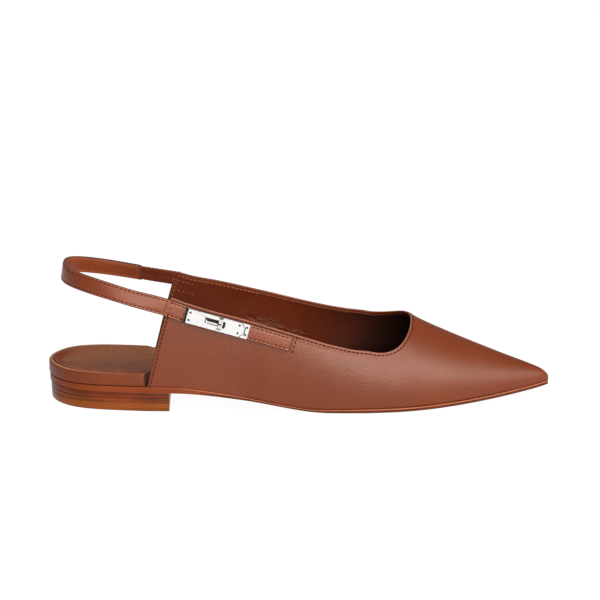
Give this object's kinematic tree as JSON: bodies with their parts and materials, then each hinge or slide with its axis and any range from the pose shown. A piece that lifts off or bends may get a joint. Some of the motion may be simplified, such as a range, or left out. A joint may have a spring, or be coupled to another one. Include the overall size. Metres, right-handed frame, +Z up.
{
  "type": "pointed-toe slingback flat shoe",
  "caption": "Right pointed-toe flat with a low cut throat, a low stacked heel and a strap round the heel that fastens with a turn lock on the outer side.",
  "frame": {"origin": "on the floor, under the middle of the bounding box", "axes": "+X from the back of the heel to the toe tip, +Y towards the inner side of the foot, +Z up"},
  "size_m": [0.268, 0.0722, 0.0746],
  "materials": {
    "upper_leather": "satin smooth calf leather, cognac brown",
    "lining_leather": "matt smooth lining leather",
    "sole_edge": "burnished painted leather edge",
    "heel_stack": "stacked leather, burnished",
    "elastic": "gathered elastic covered in soft leather",
    "lock_metal": "polished silver plate"
  },
  "bodies": {
    "root": {"outsole": "sole_edge", "heel_lift_1": "heel_stack", "heel_lift_2": "heel_stack", "heel_top_piece": "heel_stack", "insole": "lining_leather", "upper": "upper_leather", "heel_strap": "upper_leather", "elastic_link": "elastic", "clasp_base_plate": "lock_metal", "clasp_cover_plate": "lock_metal", "clasp_toggle": "lock_metal"}
  },
  "joints": []
}
